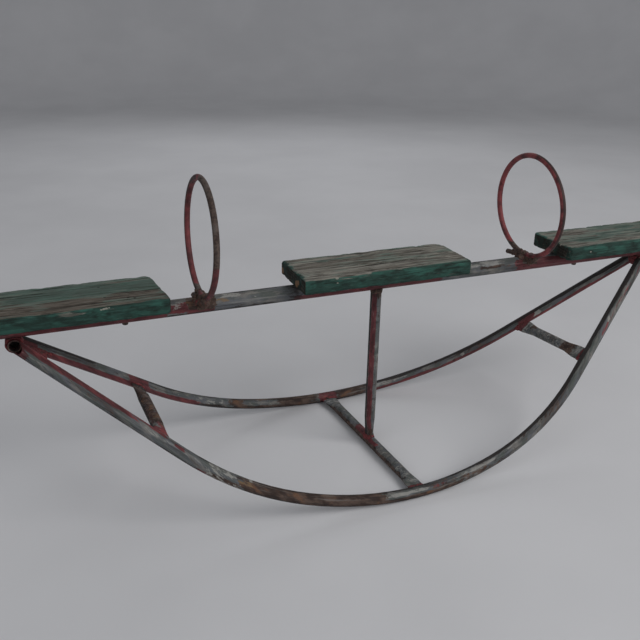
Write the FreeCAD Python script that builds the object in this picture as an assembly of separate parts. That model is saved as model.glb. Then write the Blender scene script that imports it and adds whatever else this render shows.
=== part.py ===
import FreeCAD, Part
import math
import os

# Rocking seesaw: a straight tubular beam carried on two splayed, curved tube runners.
# Three boards lie on the beam: a seat at each end and a centre board.  A ring handle of
# bent rod stands on the beam in front of each seat.  Everything steel is welded into one
# rigid frame, and the whole frame rocks on its runners.
#
# Frame: X along the beam, Y across it, Z up.  The origin is on the floor, midway between
# the two runners and midway along the beam.  All sizes are in millimetres.

Vec = FreeCAD.Vector
X_AXIS = Vec(1, 0, 0)
Y_AXIS = Vec(0, 1, 0)
Z_AXIS = Vec(0, 0, 1)

# ---- beam ----
BEAM_OD = 34.9
BEAM_WALL = 2.4
BEAM_LENGTH = 1829.0

# ---- runners ----
RUNNER_OD = 25.4
RUNNER_WALL = 2.3
RUNNER_LEAN = 29.6               # each runner's plane leans outwards from vertical, degrees
RUNNER_DEPTH = 481.5             # beam axis to runner axis at mid length, in the leaning plane
BOTTOM_RADIUS = 805.0            # rocking arc
BOTTOM_HALF_ANGLE = 18.1
SHOULDER_RADIUS = 658.0          # tighter arcs that lead into the straight legs
LEG_SLOPE = 43.0
LEG_REACH = 775.0                # distance along X at which each leg's axis is cut off

# ---- short cross tube under each end of the beam, to which the legs are welded ----
STUB_X = 778.0
STUB_LENGTH = 36.0
STUB_BITE = 0.6                  # depth of the saddle that seats the stub against the beam
WEB_REACH = 703.0                # the left web between the legs ends in a curve centred here
WEB_THICKNESS = 8.0

# ---- crossbars between the runners ----
BAR_OD = 25.4
BAR_WALL = 2.3
OUTER_BAR_X = 532.0
OUTER_BAR_SKEW = 7.0             # each end of a bar is this far off square, front end towards +X
CENTRE_BAR_SKEW = 13.0
FLAT_HALF_WIDTH = 18.8
FLAT_HALF_THICKNESS = 3.4
FLAT_LENGTH = 24.0               # pressed length, measured back from the runner's side
FLARE_LENGTH = 34.0              # round tube to pressed end

# ---- centre post ----
POST_OD = 25.4
POST_WALL = 2.3
POST_FOOT_HALF_THICKNESS = 9.0
POST_FOOT_HALF_WIDTH = 15.2
POST_FLARE_TOP = 76.0
POST_FLARE_BOTTOM = 42.0

# ---- ring handles ----
RING_ROD = 12.7
RING_RADIUS = 120.9              # centreline
RING_X = 409.0
RING_RISE = 143.6                # ring centre above the beam's axis
RING_LEAN = 2.2                  # each ring leans towards mid length, degrees
TAIL_LENGTH = 70.0               # free end of the rod beyond the joint, on the back side
TAIL_ROD = 12.0                  # slightly drawn out where the rod was straightened
TAIL_DROP = {-1: 20.0, 1: 9.0}   # degrees below level, left and right handle
TAIL_OFFSET = 1.2                # the tail's axis starts this much below the ring's
WEDGE_REACH = {-1: 38.0, 1: 58.0}    # weld between ring and tail ends this far along the tail

# ---- boards ----
BOARD_LENGTH = 412.5
BOARD_WIDTH = 149.4
BOARD_THICKNESS = 34.3
BOARD_CORNER = 11.0
BOARD_EDGE = 3.5
SEAT_INNER_END = 483.5           # distance of each seat's inner end from mid length

# ---- screws, driven up through the beam into the boards ----
LAG_X = (567.0, 845.0)
LAG_SHANK = 6.35
LAG_HEAD_FLATS = 11.1
LAG_HEAD_HEIGHT = 4.4
FLUSH_X = 150.0                  # countersunk screws that hold the centre board
FLUSH_SHANK = 4.8
FLUSH_HEAD = 9.6
SCREW_BITE = 27.0                # length of screw in the wood
SCREW_POINT = 5.0

# ---- derived ----
BEAM_R = BEAM_OD / 2
RUNNER_R = RUNNER_OD / 2
BAR_R = BAR_OD / 2
POST_R = POST_OD / 2
ROD_R = RING_ROD / 2
LEAN_SIN = math.sin(math.radians(RUNNER_LEAN))
LEAN_COS = math.cos(math.radians(RUNNER_LEAN))
BEAM_HEIGHT = RUNNER_DEPTH * LEAN_COS + RUNNER_R     # beam axis above the floor
BOARD_BOTTOM = BEAM_HEIGHT + BEAM_R
BOARD_TOP = BOARD_BOTTOM + BOARD_THICKNESS
STUB_Z = BEAM_HEIGHT - BEAM_R - RUNNER_R + STUB_BITE
RING_BASE_Z = BEAM_HEIGHT + RING_RISE - RING_RADIUS

os.makedirs("parts", exist_ok=True)


# ---------- helpers ----------

def cylinder(start, direction, length, radius):
    return Part.makeCylinder(radius, length, start, direction)


def along(axis, centre, length, radius):
    """Cylinder centred on a point."""
    return cylinder(centre - axis * (length / 2), axis, length, radius)


def disk(centre, normal, radius):
    return Part.Face(Part.Wire(Part.makeCircle(radius, centre, normal)))


def oval(centre, width_dir, half_width, height_dir, half_height):
    """Elliptical wire in the plane of the two directions."""
    normal = width_dir.cross(height_dir)
    ellipse = Part.Ellipse(Vec(0, 0, 0), half_width, half_height)
    wire = Part.Wire(ellipse.toShape())
    matrix = FreeCAD.Matrix(
        width_dir.x, height_dir.x, normal.x, centre.x,
        width_dir.y, height_dir.y, normal.y, centre.y,
        width_dir.z, height_dir.z, normal.z, centre.z)
    return wire.transformGeometry(matrix)


def largest_solid(shape):
    return max(shape.Solids, key=lambda solid: solid.Volume)


def save(name, shape):
    if not shape.isValid():
        raise ValueError("invalid shape: " + name)
    shape.exportStep("parts/" + name + ".step")
    box = shape.optimalBoundingBox()
    print("%-26s solids %d  volume %9.0f  z %7.1f..%7.1f" % (
        name, len(shape.Solids), shape.Volume, box.ZMin, box.ZMax))


# ---------- runners ----------
# A runner is a planar curve.  u runs along X and s runs down the leaning plane, both
# measured from the beam's axis at mid length.

BOTTOM_ANGLE = math.radians(BOTTOM_HALF_ANGLE)
LEG_ANGLE = math.radians(LEG_SLOPE)
BOTTOM_CENTRE_S = RUNNER_DEPTH - BOTTOM_RADIUS
SHOULDER_U = (BOTTOM_RADIUS - SHOULDER_RADIUS) * math.sin(BOTTOM_ANGLE)
SHOULDER_S = BOTTOM_CENTRE_S + (BOTTOM_RADIUS - SHOULDER_RADIUS) * math.cos(BOTTOM_ANGLE)
LEG_START_U = SHOULDER_U + SHOULDER_RADIUS * math.sin(LEG_ANGLE)
LEG_START_S = SHOULDER_S + SHOULDER_RADIUS * math.cos(LEG_ANGLE)


def runner_depth(u):
    """Depth s of the runner's axis at a distance u from mid length, on the rocking arc or a leg."""
    distance = abs(u)
    if distance > LEG_START_U:
        return LEG_START_S - (distance - LEG_START_U) * math.tan(LEG_ANGLE)
    return BOTTOM_CENTRE_S + math.sqrt(BOTTOM_RADIUS ** 2 - distance ** 2)


def plane_point(u, s, side):
    return Vec(u, side * s * LEAN_SIN, BEAM_HEIGHT - s * LEAN_COS)


def runner_point(u, side):
    return plane_point(u, runner_depth(u), side)


def arc_tube(centre, radius, start_angle, end_angle, side, tube_radius):
    """Bent tube: a disk revolved about the arc's centre, angles measured from straight down."""
    u = centre[0] + radius * math.sin(start_angle)
    s = centre[1] + radius * math.cos(start_angle)
    tangent_u = math.cos(start_angle)
    tangent_s = -math.sin(start_angle)
    tangent = plane_point(tangent_u, tangent_s, side) - plane_point(0, 0, side)
    face = disk(plane_point(u, s, side), tangent, tube_radius)
    turn_axis = Vec(0, -LEAN_COS, -side * LEAN_SIN)
    turn = math.degrees(end_angle - start_angle)
    return face.revolve(plane_point(centre[0], centre[1], side), turn_axis, turn)


def leg_tube(end, side, tube_radius):
    """Straight leg from the shoulder to its cut end; end is +1 or -1 along X."""
    start = plane_point(end * LEG_START_U, LEG_START_S, side)
    stop = runner_point(end * LEG_REACH, side)
    run = stop - start
    return cylinder(start, run, run.Length, tube_radius)


def runner_body(side, tube_radius):
    bottom = arc_tube((0, BOTTOM_CENTRE_S), BOTTOM_RADIUS, -BOTTOM_ANGLE, BOTTOM_ANGLE,
                      side, tube_radius)
    right_shoulder = arc_tube((SHOULDER_U, SHOULDER_S), SHOULDER_RADIUS,
                              BOTTOM_ANGLE, LEG_ANGLE, side, tube_radius)
    left_shoulder = arc_tube((-SHOULDER_U, SHOULDER_S), SHOULDER_RADIUS,
                             -LEG_ANGLE, -BOTTOM_ANGLE, side, tube_radius)
    pieces = [right_shoulder, left_shoulder,
              leg_tube(1, side, tube_radius), leg_tube(-1, side, tube_radius)]
    return bottom.fuse(pieces).removeSplitter()


beam_solid = along(X_AXIS, Vec(0, 0, BEAM_HEIGHT), BEAM_LENGTH + 40, BEAM_R)
stub_cutters = [along(Y_AXIS, Vec(end * STUB_X, 0, STUB_Z), 200, RUNNER_R) for end in (-1, 1)]
runner_solids = {}


def make_runner(name, side):
    outer = runner_body(side, RUNNER_R)
    inner = runner_body(side, RUNNER_R - RUNNER_WALL)
    tube = outer.cut(inner).cut([beam_solid] + stub_cutters)
    runner_solids[side] = outer
    save(name, largest_solid(tube))


make_runner("front_runner", -1)
make_runner("back_runner", 1)
both_runners = [runner_solids[-1], runner_solids[1]]


# ---------- end stubs ----------

def make_stub(name, end):
    centre = Vec(end * STUB_X, 0, STUB_Z)
    outer = along(Y_AXIS, centre, STUB_LENGTH, RUNNER_R)
    bore = along(Y_AXIS, centre, STUB_LENGTH + 2, RUNNER_R - RUNNER_WALL)
    save(name, outer.cut([bore, beam_solid]))


make_stub("left_end_stub", -1)
make_stub("right_end_stub", 1)


# ---------- crossbars ----------

def flared_tube(start, stop, tilt, shrink):
    """Round tube with both ends pressed flat; tilt is the angle of the flats about Y."""
    direction = (stop - start).normalize()
    length = (stop - start).Length
    width_dir = Vec(math.cos(tilt), 0, math.sin(tilt))
    width_dir = (width_dir - direction * width_dir.dot(direction)).normalize()
    height_dir = direction.cross(width_dir)
    flat_end = FLAT_LENGTH + RUNNER_R
    flare_end = flat_end + FLARE_LENGTH

    def section(distance, half_width, half_height):
        return oval(start + direction * distance, width_dir, half_width - shrink,
                    height_dir, half_height - shrink)

    def flat(distance):
        return section(distance, FLAT_HALF_WIDTH, FLAT_HALF_THICKNESS)

    def round_section(distance):
        return section(distance, BAR_R, BAR_R)

    stations = [flat(0), flat(flat_end), round_section(flare_end),
                round_section(length - flare_end), flat(length - flat_end), flat(length)]
    return Part.makeLoft(stations, True, True)


bar_solids = {}


def make_crossbar(name, x, skew, tilt):
    back = runner_point(x - skew, 1)
    front = runner_point(x + skew, -1)
    outer = flared_tube(back, front, tilt, 0.0)
    bore = flared_tube(back, front, tilt, BAR_WALL)
    bar_solids[name] = outer
    save(name, largest_solid(outer.cut([bore] + both_runners)))
    return back, front


# The flats lie along the runner, so on the sloping legs they are turned to the leg's slope.
leg_tilt = math.atan2(math.sin(LEG_ANGLE) * LEAN_COS, math.cos(LEG_ANGLE))
bar_ends = {
    "left_crossbar": make_crossbar("left_crossbar", -OUTER_BAR_X, OUTER_BAR_SKEW, -leg_tilt),
    "centre_crossbar": make_crossbar("centre_crossbar", 0.0, CENTRE_BAR_SKEW, 0.0),
    "right_crossbar": make_crossbar("right_crossbar", OUTER_BAR_X, OUTER_BAR_SKEW, leg_tilt),
}


# ---------- centre post ----------

def post_body(shrink):
    """Round post whose foot is squeezed narrower along X, standing on the centre crossbar."""
    def station(z, half_x, half_y):
        return oval(Vec(0, 0, z), Y_AXIS, half_y - shrink, X_AXIS, half_x - shrink)

    stations = [
        station(RUNNER_R, POST_FOOT_HALF_THICKNESS, POST_FOOT_HALF_WIDTH),
        station(POST_FLARE_BOTTOM, POST_FOOT_HALF_THICKNESS, POST_FOOT_HALF_WIDTH),
        station(POST_FLARE_TOP, POST_R, POST_R),
        station(BEAM_HEIGHT, POST_R, POST_R),
    ]
    return Part.makeLoft(stations, True, True)


post_outer = post_body(0.0)
post = post_outer.cut([post_body(POST_WALL), beam_solid, bar_solids["centre_crossbar"]])
save("centre_post", largest_solid(post))


# ---------- beam ----------

def screw_stations():
    """X position and shank diameter of every screw that passes through the beam."""
    stations = [(side * x, LAG_SHANK) for side in (-1, 1) for x in LAG_X]
    stations += [(side * FLUSH_X, FLUSH_SHANK) for side in (-1, 1)]
    return stations


def flush_head(x):
    """Cone as deep as the beam's wall, wide end on the underside."""
    return Part.makeCone(FLUSH_HEAD / 2, FLUSH_SHANK / 2, BEAM_WALL,
                         Vec(x, 0, BEAM_HEIGHT - BEAM_R), Z_AXIS)


beam = along(X_AXIS, Vec(0, 0, BEAM_HEIGHT), BEAM_LENGTH, BEAM_R)
beam_bore = along(X_AXIS, Vec(0, 0, BEAM_HEIGHT), BEAM_LENGTH + 2, BEAM_R - BEAM_WALL)
clearance_holes = [along(Z_AXIS, Vec(x, 0, BEAM_HEIGHT), BEAM_OD + 4, shank / 2 + 0.25)
                   for x, shank in screw_stations()]
countersinks = [flush_head(-FLUSH_X), flush_head(FLUSH_X)]
save("beam_pipe", beam.cut([beam_bore] + clearance_holes + countersinks))


# ---------- ring handles ----------

ring_solids = {}


def make_ring(name, end):
    centre = Vec(end * RING_X, 0, BEAM_HEIGHT + RING_RISE)
    ring = Part.makeTorus(RING_RADIUS, ROD_R, centre, X_AXIS)
    drop = math.radians(TAIL_DROP[end])
    tail = cylinder(Vec(end * RING_X, 0, RING_BASE_Z - TAIL_OFFSET),
                    Vec(0, math.cos(drop), -math.sin(drop)), TAIL_LENGTH, TAIL_ROD / 2)
    handle = ring.fuse(tail)
    handle.rotate(Vec(end * RING_X, 0, BEAM_HEIGHT), Y_AXIS, -end * RING_LEAN)
    ring_solids[end] = handle
    save(name, largest_solid(handle.cut(beam_solid)))


make_ring("left_ring_handle", -1)
make_ring("right_ring_handle", 1)


# ---------- boards and screws ----------

def board(centre_x, holes):
    corner = Vec(centre_x - BOARD_LENGTH / 2, -BOARD_WIDTH / 2, BOARD_BOTTOM)
    plank = Part.makeBox(BOARD_LENGTH, BOARD_WIDTH, BOARD_THICKNESS, corner)
    uprights = [e for e in plank.Edges if abs(e.tangentAt(e.FirstParameter).z) > 0.9]
    plank = plank.makeFillet(BOARD_CORNER, uprights)
    rims = [e for e in plank.Edges if e.BoundBox.ZLength < 0.01]
    plank = plank.makeFillet(BOARD_EDGE, rims)
    return plank.cut(holes)


def screw_shank(x, diameter):
    """Shank with a pointed tip, from under the beam up into a board."""
    bottom = BEAM_HEIGHT - BEAM_R
    straight = BEAM_OD + SCREW_BITE - SCREW_POINT
    shank = cylinder(Vec(x, 0, bottom), Z_AXIS, straight, diameter / 2)
    point = Part.makeCone(diameter / 2, 0.4, SCREW_POINT, Vec(x, 0, bottom + straight), Z_AXIS)
    return shank.fuse(point)


def lag_screw(x):
    across_corners = LAG_HEAD_FLATS / math.cos(math.pi / 6)
    corners = []
    for i in range(7):
        angle = i * math.pi / 3
        corners.append(Vec(x + across_corners / 2 * math.cos(angle),
                           across_corners / 2 * math.sin(angle),
                           BEAM_HEIGHT - BEAM_R - LAG_HEAD_HEIGHT))
    head = Part.Face(Part.makePolygon(corners)).extrude(Z_AXIS * LAG_HEAD_HEIGHT)
    bevel = Part.makeCone(LAG_HEAD_FLATS / 2 * 0.94, across_corners / 2 + 2.5, 5.0,
                          Vec(x, 0, BEAM_HEIGHT - BEAM_R - LAG_HEAD_HEIGHT), Z_AXIS)
    return head.common(bevel).fuse(screw_shank(x, LAG_SHANK))


def flush_screw(x):
    return flush_head(x).fuse(screw_shank(x, FLUSH_SHANK)).common(beam_and_above)


def make_board(name, centre_x, screws):
    save(name, board(centre_x, screws))


seat_centre = SEAT_INNER_END + BOARD_LENGTH / 2
left_lags = [lag_screw(-x) for x in LAG_X]
right_lags = [lag_screw(x) for x in LAG_X]
above_beam = Part.makeBox(2 * FLUSH_X + 40, 40, 80, Vec(-FLUSH_X - 20, -20, BEAM_HEIGHT))
beam_and_above = beam.fuse(above_beam)
centre_screws = [flush_screw(-FLUSH_X), flush_screw(FLUSH_X)]
make_board("left_seat_board", -seat_centre, left_lags)
make_board("centre_board", 0.0, centre_screws)
make_board("right_seat_board", seat_centre, right_lags)
save("left_seat_screws", Part.makeCompound(left_lags))
save("centre_board_screws", Part.makeCompound(centre_screws))
save("right_seat_screws", Part.makeCompound(right_lags))


# ---------- welds ----------
# Each weld is a bead or a built-up lump, cut clear of the pieces that it joins.

def make_handle_weld(name, end):
    """Saddle on top of the beam, and a web that fills the wedge between ring and tail."""
    x = end * RING_X
    saddle = along(X_AXIS, Vec(x, 0, BEAM_HEIGHT), 56, BEAM_R + 5.5)
    top = Part.makeBox(60, 60, 30, Vec(x - 30, -30, BEAM_HEIGHT + 6))
    saddle = saddle.common(top)
    base = RING_BASE_Z
    drop = math.radians(TAIL_DROP[end])
    reach = WEDGE_REACH[end]
    on_tail = Vec(x - 6, reach * math.cos(drop), base - TAIL_OFFSET - reach * math.sin(drop))
    rise = RING_RADIUS - math.sqrt(RING_RADIUS ** 2 - (0.9 * reach) ** 2)
    on_ring = Vec(x - 6, 0.9 * reach, base + rise)
    outline = [Vec(x - 6, -34, base + 3), Vec(x - 6, -14, base - 8), Vec(x - 6, 20, base - 12),
               on_tail, on_ring, Vec(x - 6, -34, base + 3)]
    web = Part.Face(Part.makePolygon(outline)).extrude(X_AXIS * 12)
    lump = saddle.fuse(web).cut([ring_solids[end], beam_solid])
    keep = [solid for solid in lump.Solids if solid.Volume > 30]
    save(name, Part.makeCompound(keep))


def end_bead(end):
    """Bead round the end stub where the two legs and the beam meet it."""
    return along(Y_AXIS, Vec(end * STUB_X, 0, STUB_Z), 2 * STUB_LENGTH / 3, RUNNER_R + 4.0)


def crotch_web(end):
    """Plate of weld between the two legs, with a curved inner edge."""
    corners = [runner_point(end * WEB_REACH, -1), runner_point(end * WEB_REACH, 1),
               runner_point(end * STUB_X, 1), runner_point(end * STUB_X, -1)]
    width = corners[1] - corners[0]
    normal = width.cross(corners[2] - corners[1]).normalize()
    outline = Part.makePolygon([corner - normal * (WEB_THICKNESS / 2) for corner in corners + corners[:1]])
    plate = Part.Face(outline).extrude(normal * WEB_THICKNESS)
    middle = (corners[0] + corners[1]) / 2
    return plate.cut(along(normal, middle, 4 * WEB_THICKNESS, width.Length / 2 - RUNNER_R))


def save_end_weld(name, end, lump):
    stub = along(Y_AXIS, Vec(end * STUB_X, 0, STUB_Z), STUB_LENGTH + 2, RUNNER_R)
    lump = lump.cut([stub, beam_solid] + both_runners)
    keep = [solid for solid in lump.Solids if solid.Volume > 30]
    save(name, Part.makeCompound(keep))


def make_bar_welds(name, bar, tilt):
    """Bead round each pressed end where it butts the runner."""
    back, front = bar_ends[bar]
    beads = []
    for start, stop in ((back, front), (front, back)):
        direction = (stop - start).normalize()
        width_dir = Vec(math.cos(tilt), 0, math.sin(tilt))
        width_dir = (width_dir - direction * width_dir.dot(direction)).normalize()
        height_dir = direction.cross(width_dir)
        wide = oval(start, width_dir, FLAT_HALF_WIDTH + 3.5, height_dir, FLAT_HALF_THICKNESS + 5)
        slim = oval(start + direction * (RUNNER_R + 7), width_dir, FLAT_HALF_WIDTH + 1.2,
                    height_dir, FLAT_HALF_THICKNESS + 1.5)
        bead = Part.makeLoft([wide, slim], True, True)
        bead = bead.cut([bar_solids[bar]] + both_runners)
        beads += [solid for solid in bead.Solids if solid.Volume > 30]
    save(name, Part.makeCompound(beads))


def make_post_welds():
    top = Part.makeCone(POST_R + 0.6, POST_R + 2.6, 13, Vec(0, 0, BEAM_HEIGHT - BEAM_R - 8), Z_AXIS)
    top = top.cut([post_outer, beam_solid])
    save("post_top_weld", Part.makeCompound([s for s in top.Solids if s.Volume > 30]))
    wide = oval(Vec(0, 0, RUNNER_R + 4), Y_AXIS, POST_FOOT_HALF_WIDTH + 5,
                X_AXIS, POST_FOOT_HALF_THICKNESS + 5)
    slim = oval(Vec(0, 0, RUNNER_R + BAR_R + 6), Y_AXIS, POST_FOOT_HALF_WIDTH + 1,
                X_AXIS, POST_FOOT_HALF_THICKNESS + 1)
    foot = Part.makeLoft([wide, slim], True, True)
    foot = foot.cut([post_outer, bar_solids["centre_crossbar"]])
    save("post_foot_weld", Part.makeCompound([s for s in foot.Solids if s.Volume > 30]))


make_handle_weld("left_handle_weld", -1)
make_handle_weld("right_handle_weld", 1)
save_end_weld("left_end_weld", -1, end_bead(-1).fuse(crotch_web(-1)))
save_end_weld("right_end_weld", 1, end_bead(1))
make_bar_welds("left_crossbar_welds", "left_crossbar", -leg_tilt)
make_bar_welds("centre_crossbar_welds", "centre_crossbar", 0.0)
make_bar_welds("right_crossbar_welds", "right_crossbar", leg_tilt)
make_post_welds()
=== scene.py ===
import math

import bmesh
import bpy
import numpy as np
from mathutils import Matrix, Vector


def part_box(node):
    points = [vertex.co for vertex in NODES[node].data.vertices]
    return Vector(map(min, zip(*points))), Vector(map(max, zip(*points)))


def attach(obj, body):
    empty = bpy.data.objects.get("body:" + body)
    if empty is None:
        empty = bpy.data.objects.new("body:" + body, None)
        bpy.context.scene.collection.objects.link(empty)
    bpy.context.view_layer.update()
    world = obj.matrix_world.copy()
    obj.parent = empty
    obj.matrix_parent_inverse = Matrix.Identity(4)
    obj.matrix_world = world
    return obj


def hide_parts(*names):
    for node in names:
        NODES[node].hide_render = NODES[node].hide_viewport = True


# Looks of a rocking seesaw: worn paint and rust on welded steel tube, weathered planks.
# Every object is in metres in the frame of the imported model.

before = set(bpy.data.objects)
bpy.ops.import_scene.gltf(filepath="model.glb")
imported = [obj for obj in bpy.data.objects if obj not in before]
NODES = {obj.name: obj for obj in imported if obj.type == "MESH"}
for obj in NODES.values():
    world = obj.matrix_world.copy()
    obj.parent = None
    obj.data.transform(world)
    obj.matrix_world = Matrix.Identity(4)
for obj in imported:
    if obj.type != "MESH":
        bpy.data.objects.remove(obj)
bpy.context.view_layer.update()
BODY = "root"

# ---- camera: where the viewer stands and how the lens is set ----
CAMERA_PLACE = Vector((-0.741, -1.4199, 1.0097))
CAMERA_TURN = 22.98             # degrees from straight along +Y, towards +X
CAMERA_DIP = 22.95              # degrees below level
CAMERA_ROLL = 1.14              # degrees, anticlockwise
CAMERA_LENS = 41.66             # mm, on a frame 36 mm wide
FRAME_WIDTH = 36

# ---- light and floor ----
SKY_COLOUR = (0.95, 0.97, 1)
SKY_STRENGTH = 0.19
LIGHT_TARGET = Vector((0, 0, 0.2))
LIGHTS = {                      # place, size, watts, colour
    "key": ((3, -3.6, 3.6), 3.6, 150, (1, 0.99, 0.98)),
    "fill": ((-3.4, -2.2, 2.6), 3, 30, (0.94, 0.97, 1)),
    "back": ((1.2, 4.2, 3), 3, 26, (0.97, 0.98, 1)),
}
FLOOR_RADIUS = 7                # flat part of the studio floor
SWEEP_RADIUS = 2.5              # the floor then curves up to a wall
WALL_TOP = 4
FLOOR_SIDES = 96
SWEEP_STEPS = 12
FLOOR_TONES = ((0.73, 0.73, 0.75), (0.78, 0.78, 0.8))

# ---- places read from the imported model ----
BEAM_LOW, BEAM_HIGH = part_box("beam_pipe")
BEAM_AXIS_Z = (BEAM_LOW.z + BEAM_HIGH.z) / 2
BEAM_RADIUS = (BEAM_HIGH.z - BEAM_LOW.z) / 2


def stub_box(end):
    """Box of the stub under the left (-1) or right (1) end of the beam."""
    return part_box("left_end_stub" if end < 0 else "right_end_stub")


def add_object(name, data):
    made = bpy.data.objects.new(name, data)
    bpy.context.scene.collection.objects.link(made)
    return made


def make_camera():
    data = bpy.data.cameras.new("camera")
    data.sensor_width = FRAME_WIDTH
    data.lens = CAMERA_LENS
    camera = add_object("camera", data)
    turn = Matrix.Rotation(-math.radians(CAMERA_TURN), 4, "Z")
    dip = Matrix.Rotation(math.radians(90 - CAMERA_DIP), 4, "X")
    roll = Matrix.Rotation(math.radians(CAMERA_ROLL), 4, "Z")
    camera.matrix_world = Matrix.Translation(CAMERA_PLACE) @ turn @ dip @ roll
    bpy.context.scene.camera = camera


def make_area_light(name, place, size, power, colour):
    data = bpy.data.lights.new(name, "AREA")
    data.shape = "SQUARE"
    data.size = size
    data.energy = power
    data.color = colour
    light = add_object(name, data)
    aim = (LIGHT_TARGET - Vector(place)).to_track_quat("-Z", "Y")
    light.matrix_world = Matrix.Translation(place) @ aim.to_matrix().to_4x4()


def make_sky():
    world = bpy.data.worlds.new("studio")
    world.use_nodes = True
    background = world.node_tree.nodes["Background"]
    background.inputs["Color"].default_value = (*SKY_COLOUR, 1)
    background.inputs["Strength"].default_value = SKY_STRENGTH
    bpy.context.scene.world = world


# ---------- writing materials ----------

EVEN = (1, 1, 1)                # noise that isn't drawn out along any axis


class Value:
    """A node socket that can be used in plain arithmetic."""

    def __init__(self, graph, socket):
        self.graph = graph
        self.socket = socket

    def math(self, operation, *others):
        node = self.graph.add("Math")
        node.operation = operation
        for slot, value in enumerate([self, *others]):
            self.graph.feed(node.inputs[slot], value)
        return Value(self.graph, node.outputs[0])

    def __add__(self, other):
        return self.math("ADD", other)

    def __sub__(self, other):
        return self.math("SUBTRACT", other)

    def __mul__(self, other):
        return self.math("MULTIPLY", other)

    def over(self, other):
        return self.math("MAXIMUM", other)

    def flip(self):
        """One minus the value."""
        return self * -1 + 1

    def ramp(self, low, high):
        """0 below low, 1 above high, smooth between; high may be the smaller one."""
        node = self.graph.add("MapRange")
        node.interpolation_type = "SMOOTHSTEP"
        self.graph.feed(node.inputs["Value"], self)
        node.inputs["From Min"].default_value = low
        node.inputs["From Max"].default_value = high
        return Value(self.graph, node.outputs["Result"])

    def between(self, low, high, soft):
        """1 between low and high, fading to 0 over a width of soft at each end."""
        rise = self.ramp(low - soft, low + soft)
        fall = self.ramp(high + soft, high - soft)
        return rise * fall


class Graph:
    """A material whose colour, roughness and bump are worked out from place, facing and noise."""

    def __init__(self, name):
        self.material = bpy.data.materials.new(name)
        self.material.use_nodes = True
        self.tree = self.material.node_tree
        self.tree.nodes.clear()
        output = self.add("OutputMaterial")
        self.shader = self.add("BsdfPrincipled")
        self.tree.links.new(self.shader.outputs[0], output.inputs["Surface"])
        coordinates = self.add("TexCoord")
        self.place = coordinates.outputs["Object"]
        self.x, self.y, self.z = self.split(self.place)
        self.true_x, self.true_z = self.x, self.z
        self.facing = coordinates.outputs["Normal"]
        self.facing_x, self.facing_y, self.facing_z = self.split(self.facing)
        self.unevenness = None
        self.stretch = EVEN

    def add(self, kind):
        return self.tree.nodes.new("ShaderNode" + kind)

    def feed(self, socket, value):
        if isinstance(value, Value):
            self.tree.links.new(value.socket, socket)
        elif isinstance(value, tuple):
            socket.default_value = (*value, 1)
        else:
            socket.default_value = value

    def split(self, socket):
        node = self.add("SeparateXYZ")
        self.tree.links.new(socket, node.inputs[0])
        return [Value(self, output) for output in node.outputs]

    def faces(self, x, y, z):
        """How squarely the surface faces a direction, from -1 to 1."""
        facing = self.facing_x * x + self.facing_y * y + self.facing_z * z
        return facing if self.unevenness is None else facing + self.unevenness

    def run_lengthwise(self, radius, squeeze):
        """From here on noise runs along a bent tube: place comes from x, squeezed, and facing."""
        combine = self.add("CombineXYZ")
        self.feed(combine.inputs["X"], self.x * squeeze)
        node = self.add("VectorMath")
        node.operation = "MULTIPLY_ADD"
        self.tree.links.new(self.facing, node.inputs[0])
        node.inputs[1].default_value = (radius, radius, radius)
        self.tree.links.new(combine.outputs[0], node.inputs[2])
        self.place = node.outputs[0]

    def wander(self, distance, turn):
        """From here on every boundary strays, by distance in metres and by turn round a tube."""
        slow = self.noise(16, shift=21, roughness=0.6)
        quick = self.noise(75, shift=27, roughness=0.65)
        drift = (slow - 0.5) * 1.6 + (quick - 0.5) * 1.4
        other = self.noise((22, 50, 50), shift=33, detail=5, roughness=0.65)
        self.x = self.x + drift * distance
        self.y = self.y + drift * distance
        self.z = self.z + drift * distance
        self.unevenness = (other - 0.5) * turn

    def scaled_place(self, scale, shift):
        node = self.add("Mapping")
        self.tree.links.new(self.place, node.inputs["Vector"])
        node.inputs["Scale"].default_value = scale
        node.inputs["Location"].default_value = (shift, shift * 0.7, shift * 1.3)
        return node.outputs["Vector"]

    def noise(self, scale, shift=0, detail=4, roughness=0.55, warp=0):
        """Noise from 0 to 1; scale is waves per metre, one number or one for each axis."""
        if not isinstance(scale, tuple):
            scale = (scale, scale, scale)
        scale = tuple(waves * share for waves, share in zip(scale, self.stretch))
        node = self.add("TexNoise")
        self.tree.links.new(self.scaled_place(scale, shift), node.inputs["Vector"])
        node.inputs["Scale"].default_value = 1
        node.inputs["Detail"].default_value = detail
        node.inputs["Roughness"].default_value = roughness
        node.inputs["Distortion"].default_value = warp
        return Value(self, node.outputs[0])

    def attribute(self, name):
        node = self.add("Attribute")
        node.attribute_name = name
        return Value(self, node.outputs["Fac"])

    def mix(self, amount, first, second):
        """Colour first where amount is 0, second where it is 1."""
        node = self.add("Mix")
        node.data_type = "RGBA"
        self.feed(node.inputs[0], amount)
        self.feed(node.inputs[6], first)
        self.feed(node.inputs[7], second)
        return Value(self, node.outputs[2])

    def coats(self, colour, *layers):
        """A colour with layers over it, each an amount and a colour."""
        for amount, layer in layers:
            colour = self.mix(amount, colour, layer)
        return colour

    def finish(self, colour, roughness, height, depth, specular):
        """Connects the results; depth is how far the surface moves over height 0 to 1, in metres."""
        self.feed(self.shader.inputs["Base Color"], colour)
        self.feed(self.shader.inputs["Roughness"], roughness)
        self.shader.inputs["Specular IOR Level"].default_value = specular
        bump = self.add("Bump")
        bump.inputs["Strength"].default_value = 1
        bump.inputs["Distance"].default_value = depth
        self.feed(bump.inputs["Height"], height)
        self.tree.links.new(bump.outputs[0], self.shader.inputs["Normal"])
        return self.material


# ---------- steel ----------

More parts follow.
